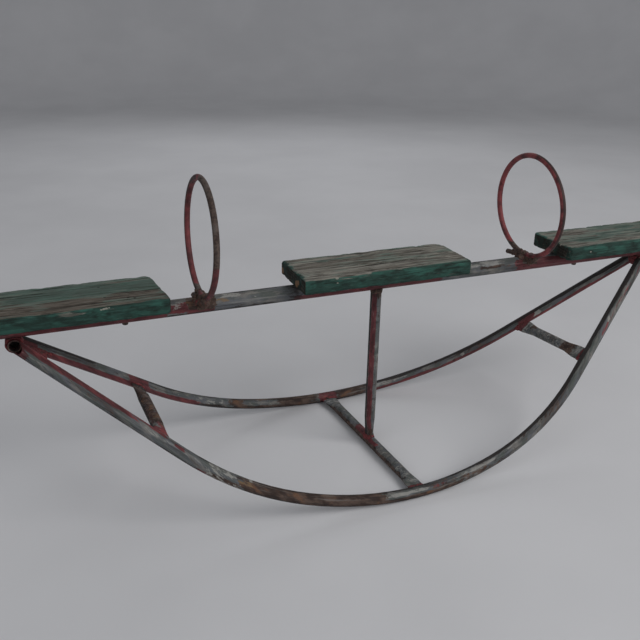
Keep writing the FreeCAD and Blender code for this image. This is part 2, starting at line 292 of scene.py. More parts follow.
GREY_BLUE = (0.125, 0.132, 0.145)
GREY_WARM = (0.225, 0.212, 0.196)
GREY_GREEN = (0.088, 0.1, 0.092)
GREY_DARK = (0.06, 0.062, 0.068)
RED_DARK = (0.078, 0.022, 0.025)
RED_MID = (0.15, 0.042, 0.047)
RED_BRIGHT = (0.26, 0.058, 0.062)
PRIMER_PINK = (0.3, 0.19, 0.185)
RUST_DARK = (0.042, 0.027, 0.023)
RUST_BROWN = (0.12, 0.082, 0.066)
RUST_ORANGE = (0.215, 0.105, 0.055)
# dark of bare metal, also used as painted shade along tube outlines
BARE_AND_SHADE_DARK = (0.03, 0.024, 0.023)
# pale chalky paint, also a painted highlight band on the front runner
CHALK_AND_HIGHLIGHT = (0.36, 0.355, 0.33)
OCHRE = (0.225, 0.15, 0.085)
BORE_SHADE = (0.02, 0.015, 0.014)     # painted shade: near-black of the disc deep in each stub
STUB_BORE = 0.0104              # inside radius of the stubs
STRAY = (0.016, 1.1)            # how far borders of paint wander: metres, and turn round a tube
STRAY_ON_POST = (0.006, 0.4)


def strongest(first, *others):
    """The highest of several values at every place."""
    for value in others:
        first = first.over(value)
    return first


def worn_steel(name, zones, stretch=EVEN, stray=STRAY, bent=None):
    """Old paint over rust.

    zones(graph) sets how likely each layer is at every place.  Stretch draws noise out along the
    axes, bent along a bent tube, and stray is how far borders wander.
    """
    g = Graph(name)
    if bent:
        g.run_lengthwise(*bent)
    g.wander(*stray)
    g.red = g.rust = g.dark = g.chalk = g.speck = g.ochre = g.x * 0
    zones(g)

    grit = g.noise(700, shift=5.9, detail=2)
    g.stretch = stretch
    broad = g.noise(11, shift=3.1)
    patch = g.noise(42, shift=7.7, detail=5, roughness=0.65)
    other = g.noise(60, shift=17, detail=5, roughness=0.65)
    fine = g.noise(190, shift=1.3, roughness=0.65)
    streak = g.noise((24, 230, 230), shift=5, detail=5, roughness=0.6)
    ragged = (patch - 0.5) * 1.2 + fine - 0.5 + (streak - 0.5) * 0.6

    grey = g.coats(
        g.mix(patch.ramp(0.38, 0.6), GREY_GREEN, GREY_BLUE),
        (other.ramp(0.46, 0.64) * 0.85, GREY_WARM),
        (broad.ramp(0.52, 0.64) * 0.7, GREY_DARK),
        (streak.ramp(0.47, 0.33) * 0.65, BARE_AND_SHADE_DARK),
        (streak.ramp(0.56, 0.7) * 0.36, CHALK_AND_HIGHLIGHT),
        ((fine * 0.5 + broad * 0.5).ramp(0.55, 0.63) * 0.75, RUST_BROWN))
    red = g.coats(
        g.mix(other.ramp(0.36, 0.56), RED_DARK, RED_MID),
        (patch.ramp(0.5, 0.66) * 0.8, RED_BRIGHT),
        (streak.ramp(0.57, 0.72) * 0.45, PRIMER_PINK),
        (streak.ramp(0.45, 0.32) * 0.65, BARE_AND_SHADE_DARK))
    rust = g.coats(
        g.mix(other.ramp(0.38, 0.62), RUST_DARK, RUST_BROWN),
        (patch.ramp(0.54, 0.68) * 0.65, RUST_ORANGE),
        (streak.ramp(0.55, 0.7) * 0.6, GREY_WARM),
        (streak.ramp(0.45, 0.32) * 0.7, BARE_AND_SHADE_DARK))

    is_chalk = (g.chalk + ragged * 0.9).ramp(0.5, 0.72) * 0.75
    is_red = (g.red + ragged * 0.8).ramp(0.42, 0.56)
    is_rust = (g.rust + ragged * 0.9 + (broad - 0.5) * 0.4).ramp(0.48, 0.62)
    is_dark = (g.dark + ragged * 0.65).ramp(0.42, 0.66)
    is_ochre = (g.ochre + ragged * 0.9).ramp(0.48, 0.7) * 0.85
    chips = (fine * 0.6 + other * 0.4 + (broad - 0.5) * 0.35).ramp(0.595, 0.64)
    specks = (g.speck * 1.2 + (fine - 0.5) * 2.4 + (other - 0.5) * 1.2).ramp(1.12, 1.32)

    colour = g.coats(
        # chalky paint, and on the front runner a painted highlight band
        g.mix(is_chalk, grey, CHALK_AND_HIGHLIGHT),
        (is_red, red),
        (is_rust, rust),
        (chips * 0.75, RUST_DARK),
        # dark layer: bare dark metal, and along tube outlines painted shade
        (is_dark * 0.9, BARE_AND_SHADE_DARK),
        (is_ochre, OCHRE),
        (specks * 0.8, CHALK_AND_HIGHLIGHT),
        (grit.ramp(0.4, 0.7) * 0.18, BARE_AND_SHADE_DARK))

    bare = is_rust.over(chips).over(is_dark)
    roughness = fine * 0.22 + 0.52 + bare * 0.15
    height = bare.flip() * 0.45 + fine * 0.3 + grit * 0.2 + specks * 0.2
    return g.finish(colour, roughness, height, 0.0008, specular=0.25)


ALONG_BEAM = (0.35, 1, 1)
ALONG_POST = (1, 1, 0.3)
BENT_TUBE = (0.0127, 0.55)      # radius, and how far patterns are drawn out along it

# Directions square to each tube and to the line of sight: +1 is the tube's upper outline.
LEVEL_UP = (0, 0.417, 0.909)
FRONT_LEFT_UP = (0.68, 0.32, 0.66)
FRONT_RIGHT_UP = (-0.587, 0.751, 0.297)
BACK_LEFT_UP = (0.5, 0.327, 0.802)
BACK_RIGHT_UP = (-0.31, 0.609, 0.727)

# The zones below say how likely each layer is at a place; from about 0.5 on it shows.  Most are a
# stretch along the tube, times a band of its outline, times a strength.


def beam_zones(g):
    along = g.x.between
    up = g.faces(*LEVEL_UP)
    boards = along(-0.206, 0.165, 0.02).over(along(-0.95, -0.484, 0.01))
    g.red = strongest(
        boards.over(along(0.484, 0.95, 0.01)) * up.ramp(-0.35, -0.6),
        along(-0.5, -0.44, 0.01) * up.between(-0.7, 0.3, 0.12),
        along(-0.44, -0.385, 0.012) * up.ramp(-0.2, -0.5),
        along(0.372, 0.56, 0.01) * up.ramp(0.62, 0.35))
    g.rust = strongest(
        along(-0.438, -0.38, 0.008) * up.between(-0.55, 1.2, 0.12),
        along(0.392, 0.438, 0.014) * up.between(-0.4, 1.2, 0.15),
        along(0.262, 0.345, 0.02) * up.between(-0.3, 0.2, 0.15) * 0.7)
    g.dark = strongest(
        # partly dark bare paint, partly painted shade along the beam's upper outline
        up.ramp(0.82, 0.97) * along(-0.38, 0.3, 0.05) * 0.75,
        g.x.ramp(-0.26, -0.206) * g.x.ramp(-0.15, -0.2) * 0.55,
        # painted shade along the beam's lower outline
        up.ramp(-0.8, -0.95) * along(-0.5, -0.22, 0.03) * 0.75,
        # painted shade: the lower side of the beam darker
        up.ramp(-0.25, -0.75) * along(-0.38, 0.4, 0.03) * 0.4)
    g.chalk = strongest(
        along(0.215, 0.35, 0.03) * up.between(0, 0.9, 0.2) * 0.62,
        along(-0.37, -0.325, 0.01) * up.between(0.35, 1, 0.1) * 0.75)
    g.ochre = along(-0.388, -0.35, 0.01) * up.between(-0.1, 0.45, 0.2) * 0.62
    g.speck = strongest(
        along(-0.5, -0.44, 0.01) * up.between(-0.4, 0.6, 0.1) * 0.9,
        along(-0.299, -0.292, 0.002) * up.between(-0.15, 0.2, 0.05) * 1.1,
        along(0.22, 0.37, 0.03) * 0.4)


def front_runner_zones(g):
    along = g.x.between
    left = g.faces(*FRONT_LEFT_UP)
    level = g.faces(*LEVEL_UP)
    right = g.faces(*FRONT_RIGHT_UP)
    g.red = strongest(
        along(-0.8, -0.585, 0.05) * left.ramp(0.1, 0.36),
        along(-0.585, -0.52, 0.02) * left.ramp(0.45, 0.75) * 0.7,
        along(-0.512, -0.494, 0.004) * left.between(0.35, 0.85, 0.1),
        along(-0.82, -0.757, 0.012) * 0.66,
        along(-0.475, -0.43, 0.01) * left.ramp(-0.45, -0.75) * 0.7,
        along(0.04, 0.1, 0.02) * level.between(0.1, 0.8, 0.15) * 0.42,
        along(-0.165, -0.145, 0.008) * level.between(-0.2, 0.4, 0.15) * 0.62,
        along(0.585, 0.8, 0.03) * right.between(-0.75, -0.15, 0.15) * 0.5)
    g.rust = strongest(
        along(-0.392, -0.07, 0.05),
        along(-0.085, 0.12, 0.03) * level.ramp(0.05, -0.25),
        along(-0.46, -0.385, 0.02) * left.ramp(-0.05, -0.5) * 0.72,
        along(0.04, 0.26, 0.05) * level.between(-0.9, 0.35, 0.25) * 0.6)
    g.dark = strongest(
        along(0.07, 0.9, 0.05) * right.ramp(0.1, 0.42),
        # partly dark bare paint, partly painted shade along the upper outline
        along(-0.47, 0.07, 0.03) * level.ramp(0.72, 0.92) * 0.9,
        # painted shade along the lower outline near the left end
        along(-0.82, -0.45, 0.03) * left.ramp(-0.7, -0.95) * 0.62,
        # painted shade along the lower outline
        along(-0.4, 0.3, 0.05) * level.ramp(-0.6, -0.9) * 0.9,
        along(-0.82, -0.7, 0.02) * left.between(-0.9, 0, 0.2) * 0.46)
    g.chalk = strongest(
        along(-0.085, 0.035, 0.024) * level.between(0.12, 0.68, 0.12) * 0.74,
        along(0.1, 0.3, 0.04) * right.between(-0.35, 0.15, 0.15) * 0.6,
        # painted highlight: a pale band along the middle of the tube
        along(-0.58, -0.45, 0.03) * left.between(-0.2, 0.5, 0.15) * 0.52)
    g.speck = strongest(
        along(-0.465, -0.388, 0.015) * 0.95,
        along(-0.371, -0.359, 0.003) * left.ramp(0.35, 0.6) * 1.2,
        along(0.619, 0.632, 0.003) * right.between(-0.5, 0.1, 0.1) * 1.1)
    g.ochre = along(-0.397, -0.362, 0.008) * left.between(-0.2, 0.5, 0.2) * 0.58


def back_runner_zones(g):
    along = g.x.between
    left = g.faces(*BACK_LEFT_UP)
    level = g.faces(*LEVEL_UP)
    right = g.faces(*BACK_RIGHT_UP)
    g.red = strongest(
        along(-0.86, -0.385, 0.05) * left.ramp(0.02, -0.22),
        along(-0.82, -0.735, 0.01) * left.ramp(0.75, 0.5),
        along(-0.562, -0.513, 0.014),
        along(0.12, 0.9, 0.05) * right.ramp(-0.32, -0.55),
        along(-0.038, 0.014, 0.012),
        along(0.515, 0.56, 0.006) * 0.9)
    pale = along(-0.262, -0.158, 0.03) * level.between(-0.3, 0.62, 0.12)
    g.rust = strongest(
        along(-0.305, -0.032, 0.045) * 0.86 - pale * 0.55,
        along(-0.39, -0.29, 0.03) * left.ramp(0, -0.5) * 0.66,
        along(0.002, 0.11, 0.035) * 0.74)
    g.dark = strongest(
        along(0.1, 0.9, 0.05) * right.ramp(0.18, 0.42),
        along(-0.79, -0.62, 0.04) * left.ramp(0.4, 0.7) * 0.85,
        along(-0.8, -0.565, 0.03) * left.between(-0.1, 0.8, 0.2) * 0.42,
        # partly dark bare paint, partly painted shade along the upper outline
        along(-0.82, 0.1, 0.03) * left.ramp(0.84, 0.97) * 0.8,
        # painted shade along the lower outline
        along(-0.4, 0.1, 0.05) * level.ramp(-0.55, -0.85) * 0.9)
    g.chalk = strongest(
        along(0.09, 0.26, 0.03) * level.between(-0.1, 0.6, 0.2) * 0.52,
        along(-0.5, -0.4, 0.03) * left.between(0.1, 0.6, 0.15) * 0.5)
    g.speck = strongest(
        along(-0.405, -0.3, 0.02) * left.between(-0.5, 0.7, 0.15) * 0.92,
        pale * 0.75,
        along(0.372, 0.386, 0.004) * right.between(-0.5, 0.4, 0.1),
        along(0.555, 0.57, 0.003) * right.between(-0.5, 0.4, 0.1) * 1.2)


def left_bar_zones(g):
    along = g.y.between
    g.red = strongest(
        along(-0.128, -0.082, 0.006),
        g.faces(0.9, -0.3, 0.2).ramp(0.55, 0.85) * 0.6,
        along(-0.08, 0.08, 0.01) * 0.6)
    g.rust = along(-0.075, 0.14, 0.01) * 0.66
    g.dark = strongest(
        # painted shade: the lower left side of the bar, away from the light, darker
        g.faces(-0.9, -0.1, -0.3).ramp(0.35, 0.8) * 0.85,
        along(0.085, 0.13, 0.01) * 0.62)


def centre_bar_zones(g):
    along = g.y.between
    g.red = strongest(
        along(0.012, 0.056, 0.006) * g.faces(0.7, 0.3, 0.7).ramp(-0.75, -0.45),
        along(-0.26, -0.214, 0.006),
        along(-0.05, 0.012, 0.008) * g.faces(-0.9, 0, 0.3).ramp(0.3, 0.65))
    g.rust = g.faces(-0.92, -0.1, -0.3).ramp(0.4, 0.8) * 0.8
    g.dark = strongest(
        # painted shade: the lower half of the bar darker
        g.facing_z.ramp(0, -0.65) * 0.85,
        along(-0.192, -0.184, 0.003) * g.x.between(-0.01, 0.004, 0.003) * 0.6)
    g.chalk = strongest(
        along(-0.21, -0.15, 0.01) * 0.52,
        along(0.15, 0.23, 0.02) * 0.5)
    g.speck = strongest(
        along(-0.088, -0.078, 0.002) * g.facing_z.ramp(0.2, 0.6) * 0.9,
        along(-0.158, -0.148, 0.002) * g.faces(-0.7, 0, 0.7).ramp(0.6, 0.9) * 1.2)


def right_bar_zones(g):
    along = g.y.between
    g.red = strongest(
        along(0.1, 0.132, 0.004),
        along(-0.16, -0.106, 0.004))
    g.rust = strongest(
        along(0.05, 0.08, 0.008) * g.faces(0.3, 0.4, 0.8).ramp(0.3, 0.6) * 0.85,
        along(-0.085, -0.045, 0.01) * 0.85,
        g.faces(0.7, 0, 0.7).ramp(0.75, 0.95) * 0.7)
    g.dark = strongest(
        # painted shade: the underside of the bar darker
        g.facing_z.ramp(-0.2, -0.8) * 0.6,
        # partly dark bare paint, partly painted shade along the upper outline
        g.faces(0.75, 0.1, 0.65).ramp(0.9, 1) * 0.45)
    g.chalk = strongest(
        along(0.08, 0.1, 0.006) * 0.6,
        along(-0.104, -0.082, 0.006) * 0.6,
        along(-0.045, 0.05, 0.01) * 0.52)
    g.speck = along(0.09, 0.101, 0.003) * g.faces(-0.7, -0.3, 0.5).ramp(0.3, 0.7) * 1.1


def post_zones(g):
    across = g.faces(0.923, -0.383, 0)
    front = g.faces(-0.391, -0.92, 0).ramp(-0.05, 0.25)
    g.red = across.between(-0.72, 0.18, 0.06) * front * 1.5
    g.rust = strongest(
        g.z.ramp(0.378, 0.408) * 0.8,
        g.z.ramp(0.072, 0.04) * 0.62)
    g.dark = strongest(
        # painted shade along the post's left outline, away from the light
        across.ramp(-0.66, -0.84) * 0.75,
        across.between(0.18, 0.4, 0.06) * front * 0.42)


def from_stub(g, end):
    """How far along x and z a place is from the axis of a stub."""
    low, high = stub_box(end)
    return g.true_x - (low.x + high.x) / 2, g.true_z - (low.z + high.z) / 2


def stub_zones(g):
    for end in (-1, 1):
        across, up = from_stub(g, end)
        inward = across * g.facing_x + up * g.facing_z
        near = (g.true_x * end).ramp(0.5, 0.6)
        # painted shade: the inside wall of each stub's bore darkened
        g.dark = g.dark.over(inward.ramp(-0.004, -0.007) * near * 1.6)
    g.red = g.red + 0.8
    g.rust = g.facing_y.ramp(-0.5, -0.9) * 0.62


def ring_material(name, worn_zone, patch_zone, full_red):
    """Dark red rod, rubbed to bare brown in places; the higher full_red, the darker the paint."""
    g = Graph(name)
    patch = g.noise(38, shift=9, detail=5, roughness=0.6)
    fine = g.noise(190, shift=4)
    grit = g.noise(700, shift=6, detail=2)
    ragged = patch - 0.5 + (fine - 0.5) * 0.8
    red = g.coats(
        g.mix(patch.ramp(0.36, full_red), RED_DARK, RED_BRIGHT),
        (fine.ramp(0.6, 0.78) * 0.3, PRIMER_PINK),
        (fine.ramp(0.42, 0.3) * 0.4, BARE_AND_SHADE_DARK))
    brown = g.mix(fine.ramp(0.35, 0.7), RUST_DARK, RUST_BROWN)
    brown = g.mix(patch.ramp(0.46, 0.68) * 0.28, brown, GREY_WARM)
    dark = g.mix(patch.ramp(0.4, 0.6), BARE_AND_SHADE_DARK, RUST_DARK)
    foot = g.z.ramp(BEAM_AXIS_Z + 0.036, BEAM_AXIS_Z + 0.02) * g.y.ramp(-0.01, 0.01)
    is_bare = (worn_zone(g).over(foot) + ragged * 0.6).ramp(0.45, 0.6)
    is_dark = (patch_zone(g) + ragged * 0.6).ramp(0.48, 0.62)
    chips = (fine * 0.6 + patch * 0.4).ramp(0.6, 0.64)
    colour = g.coats(
        g.mix(is_bare, red, brown),
        (chips * 0.6, RUST_DARK),
        (is_dark * 0.9, dark),
        (grit.ramp(0.4, 0.7) * 0.18, BARE_AND_SHADE_DARK))
    roughness = fine * 0.22 + 0.46 + is_bare * 0.15
    height = is_bare.over(chips).flip() * 0.4 + fine * 0.35 + grit * 0.2
    return g.finish(colour, roughness, height, 0.0006, specular=0.3)


def left_ring_worn(g):
    """The hand-worn near side and top, and the stretch just above the weld on the far side."""
    near = g.y.ramp(0.01, -0.012) * g.z.ramp(0.535, 0.56)
    far_foot = g.y.ramp(0, 0.02) * g.z.ramp(0.47, 0.46)
    return near.over(far_foot)


def left_ring_dark(g):
    """Dark stripe on the side of the rod that faces the left end."""
    edge = g.faces(-0.92, 0.38, 0)
    far = g.y.ramp(0, 0.02) * edge.ramp(0.45, 0.8) * 0.75
    near = g.y.ramp(0, -0.02) * edge.ramp(0.55, 0.9) * 0.7
    return far.over(near)


def right_ring_worn(g):
    """The stretch just above the weld on the far side."""
    return g.y.ramp(0, 0.02) * g.z.ramp(0.48, 0.466) * 0.9


def right_ring_dark(g):
    """Dark outer edge on the near side and over the top."""
    out = (g.y * g.facing_y + (g.z - 0.575) * g.facing_z).ramp(0.088, 0.118)
    near = (g.y * -1 + (g.z - 0.6) * 0.4).ramp(0.02, 0.07)
    return out * near * 0.95


def weld_material(name, red_amount, dark_in_stubs=False):
    """Rough rusty weld metal, with paint caught in places; inside the stubs it is painted near-black as
    shade.
    """
    g = Graph(name)
    patch = g.noise(70, shift=2, detail=5, roughness=0.65)
    fine = g.noise(260, shift=8, roughness=0.6)
    crust = g.noise(130, shift=11, detail=3, warp=1)
    rust = g.coats(
        g.mix(patch.ramp(0.34, 0.66), RUST_DARK, RUST_BROWN),
        (crust.ramp(0.52, 0.72) * 0.5, RUST_ORANGE),
        (fine.ramp(0.6, 0.78) * 0.45, OCHRE),
        (fine.ramp(0.46, 0.3) * 0.6, BARE_AND_SHADE_DARK))
    red = g.mix(fine.ramp(0.34, 0.66), RED_DARK, RED_BRIGHT)
    is_red = ((patch - 0.5) * 1.6 + (crust - 0.5) * 0.9 + red_amount).ramp(0.42, 0.56)
    colour = g.mix(is_red, rust, red)
    colour = g.mix(crust.ramp(0.4, 0.26) * 0.6, colour, BARE_AND_SHADE_DARK)
    if dark_in_stubs:
        for end in (-1, 1):
            across, up = from_stub(g, end)
            away = across * across + up * up
            # painted shade: weld inside the bore near-black
            colour = g.mix(away.ramp(STUB_BORE ** 2, (0.92 * STUB_BORE) ** 2), colour, BORE_SHADE)
    roughness = fine * 0.2 + 0.68
    height = fine * 0.5 + crust * 0.5
    return g.finish(colour, roughness, height, 0.0014, specular=0.2)


def screw_material():
    g = Graph("screw_steel")
    patch = g.noise(300, shift=1)
    fine = g.noise(1200, shift=2, detail=2)
    colour = g.mix(patch.ramp(0.4, 0.62), BARE_AND_SHADE_DARK, RUST_BROWN)
    colour = g.mix(fine.ramp(0.55, 0.75) * 0.5, colour, RUST_ORANGE)
    return g.finish(colour, fine * 0.2 + 0.55, fine, 0.0003, specular=0.4)


def paint(node, material):
    """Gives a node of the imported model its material."""
    NODES[node].data.materials.clear()
    NODES[node].data.materials.append(material)


# ---------- repeatable noise for shapes ----------

class Lattice:
    """Smooth noise from 0 to 1: random values on a lattice, blended between."""

    def __init__(self, seed, cells=48):
        self.cells = cells
        self.table = np.random.default_rng(seed).random((cells, cells, cells))

    def at(self, points):
        whole = np.floor(points).astype(int)
        part = points - whole
        part = part * part * (3 - 2 * part)
        total = np.zeros(len(points))
        for corner in np.ndindex(2, 2, 2):
            index = (whole + corner) % self.cells
            weight = np.prod(np.where(corner, part, 1 - part), axis=1)
            total += weight * self.table[index[:, 0], index[:, 1], index[:, 2]]
        return total

    def fractal(self, points, octaves=3):
        total = np.zeros(len(points))
        size = 0
        for octave in range(octaves):
            strength = 0.5 ** octave
            total += strength * self.at(points * 2 ** octave + 7.3 * octave)
            size += strength
        return total / size


def step(value, low, high):
    """Smooth step from 0 at low to 1 at high."""
    t = np.clip((value - low) / (high - low), 0, 1)
    return t * t * (3 - 2 * t)


def new_object(name, vertices, faces):
    mesh = bpy.data.meshes.new(name)
    mesh.from_pydata(vertices, [], faces)
    mesh.update()
    mesh.shade_smooth()
    return add_object(name, mesh)


def make_stage():
    """Round floor whose rim curves up into a low wall."""
    profile = [(FLOOR_RADIUS * 0.8, 0), (FLOOR_RADIUS, 0)]
    for number in range(1, SWEEP_STEPS + 1):
        turn = math.radians(90 * number / SWEEP_STEPS)
        profile.append((FLOOR_RADIUS + SWEEP_RADIUS * math.sin(turn),
                        SWEEP_RADIUS * (1 - math.cos(turn))))
    profile.append((FLOOR_RADIUS + SWEEP_RADIUS, WALL_TOP))
    vertices = []
    for radius, height in profile:
        for number in range(FLOOR_SIDES):
            turn = 2 * math.pi * number / FLOOR_SIDES
            vertices.append((radius * math.cos(turn), radius * math.sin(turn), height))
    faces = [tuple(range(FLOOR_SIDES))]
    for ring in range(len(profile) - 1):
        for number in range(FLOOR_SIDES):
            after = (number + 1) % FLOOR_SIDES
            low, high = ring * FLOOR_SIDES, (ring + 1) * FLOOR_SIDES
            faces.append((low + number, high + number, high + after, low + after))
    floor = new_object("floor", vertices, faces)
    g = Graph("pale_floor")
    tone = g.noise(1.3, detail=3).ramp(0.3, 0.7)
    colour = g.mix(tone, *FLOOR_TONES)
    weave = g.noise(50, detail=3)
    floor.data.materials.append(g.finish(colour, 0.85, weave, 0.0003, specular=0.1))


# ---------- planks ----------

PLANK_CELLS = (190, 170, 32)
PLANK_EDGE = 0.004              # radius of the long edges before wear
GRAIN_DEPTH = 0.0011
CRACK_DEPTH = 0.0035
UNDULATION = 0.0012
PIT_DEPTH = 0.0012
KNOT_DEPTH = 0.0016
SWAY = 0.008                    # how far the grain strays from straight
WEAR_WAVES = 42                 # waves per metre of wear on the edges
COARSE_WAVES = (9, 210)         # of grain, along and across
THIN_WAVES = (18, 560)
STREAK_WAVES = (9, 90)          # of paint left in streaks
RIM = (0.016, 0.004)            # the rim fades out from 4 to 16 mm in from a plank's outline
GREEN_GAIN = 0.42               # paint more at a green place
WORN_LOSS = 0.45                # paint less at a worn one
PLACE_STRETCH = 2.4             # such places are longer than wide
UNDER_COVER = 0.8               # paint left below
EDGE_COVER = 0.62               # and on rounded edges
# What is stored at every point of a plank for its material.
LAYERS = ("paint", "crack", "furrow", "fleck", "raw", "knot", "ends", "ring", "low", "flat", "shade")


def box_surface(cells):
    """Vertices (-1 to 1) and quads of the surface of a box cut into cells."""
    index = {}
    vertices = []
    faces = []

    def vertex(key):
        if key not in index:
            index[key] = len(vertices)
            vertices.append([2 * k / n - 1 for k, n in zip(key, cells)])
        return index[key]

    for axis in range(3):
        first, second = (axis + 1) % 3, (axis + 2) % 3
        for end in (0, cells[axis]):
            for i in range(cells[first]):
                for j in range(cells[second]):
                    corners = [(i, j), (i + 1, j), (i + 1, j + 1), (i, j + 1)]
                    if end == 0:
                        corners.reverse()
                    quad = []
                    for a, b in corners:
                        key = [0, 0, 0]
                        key[axis], key[first], key[second] = end, a, b
                        quad.append(vertex(tuple(key)))
                    faces.append(quad)
    return np.array(vertices), faces


def corner_radii(points, corners):
    """Radius of the upright corner in each point's quarter of the plank."""
    left_front, right_front, right_back, left_back = corners
    front = np.where(points[:, 0] < 0, left_front, right_front)
    back = np.where(points[:, 0] < 0, left_back, right_back)
    return np.where(points[:, 1] < 0, front, back)


def shape_plank(grid, half, corners, wear):
    """Rounds a box's corners and edges.  Returns points, outward normals and depth from the rim."""
    points = grid * half
    radius = corner_radii(points, corners)[:, None]
    inner = half[:2] - radius
    core = np.clip(points[:, :2], -inner, inner)
    away = points[:, :2] - core
    length = np.hypot(away[:, 0], away[:, 1])
    reach = np.abs(away).max(axis=1)
    points[:, :2] = core + away * np.where(length > 0, reach / np.maximum(length, 1e-9), 1)[:, None]

    beyond = np.abs(points[:, :2]) - inner
    outer = np.maximum(beyond, 0)
    outer_length = np.hypot(outer[:, 0], outer[:, 1])
    depth = radius[:, 0] - outer_length - np.minimum(beyond.max(axis=1), 0)
    flat = np.where(beyond[:, :1] > beyond[:, 1:], [[1, 0]], [[0, 1]])
    slanted = outer / np.maximum(outer_length, 1e-9)[:, None]
    normal = np.where(outer_length[:, None] > 1e-7, slanted, flat)
    normal = normal * np.where(points[:, :2] < 0, -1, 1)

    rim = points[:, :2] + normal * depth[:, None]
    edge = PLANK_EDGE * (0.6 + 1.7 * wear(rim))
    on_flat = np.abs(grid[:, 2]) > 0.9999
    height = np.abs(points[:, 2])
    turn_flat = 0.25 * math.pi * (1 + np.clip(depth / edge, 0, 1))
    turn_side = 0.25 * math.pi * np.clip((height - (half[2] - edge)) / edge, 0, 1)
    turn = np.where(on_flat, turn_flat, turn_side)
    inset = edge * (1 - np.cos(turn))
    past_round = on_flat & (depth > edge)
    target = np.where(past_round, depth, inset)
    points[:, :2] = rim - normal * target[:, None]
    rounded = half[2] - edge * (1 - np.sin(turn))
    new_height = np.where(on_flat | (height > half[2] - edge), rounded, height)
    sign = np.where(points[:, 2] < 0, -1, 1)
    points[:, 2] = sign * new_height
    outward = np.column_stack([normal * np.cos(turn)[:, None], sign * np.sin(turn)])
    return points, outward, depth


def crack_depths(points, half, seed, count, amount):
    """Long splits along the grain, deepest in the middle of their length."""
    random = np.random.default_rng(seed)
    total = np.zeros(len(points))
    wander = Lattice(seed + 50)
    for number in range(count):
        start = random.uniform(-1.05, 0.75) * half[0]
        length = random.uniform(0.05, 0.26)
        across = random.uniform(-0.94, 0.94) * half[1]
        width = random.uniform(0.0006, 0.0015)
        strength = random.uniform(0.35, 1)
        line = np.column_stack([points[:, 0] * 14, np.full(len(points), number * 3.7), total * 0])
        centre = across + 0.005 * (wander.fractal(line) - 0.5)
        share = np.clip((points[:, 0] - start) / length, 0, 1)
        body = np.sin(math.pi * share)
        near = np.exp(-((points[:, 1] - centre) / (width * (0.4 + body))) ** 2)
        total = np.maximum(total, strength * near * np.minimum(1, 2.2 * body) * amount)
    return total


def spots(points, places, stretch=1):
    """1 near each listed point, falling to 0 at its radius.  Places are (x, y, z, radius)."""
    total = np.zeros(len(points))
    for x, y, z, radius in places:
        gap = np.linalg.norm((points - np.array([x, y, z])) / [stretch, 1, 1], axis=1)
        total = np.maximum(total, step(gap, radius, radius * 0.35))
    return total


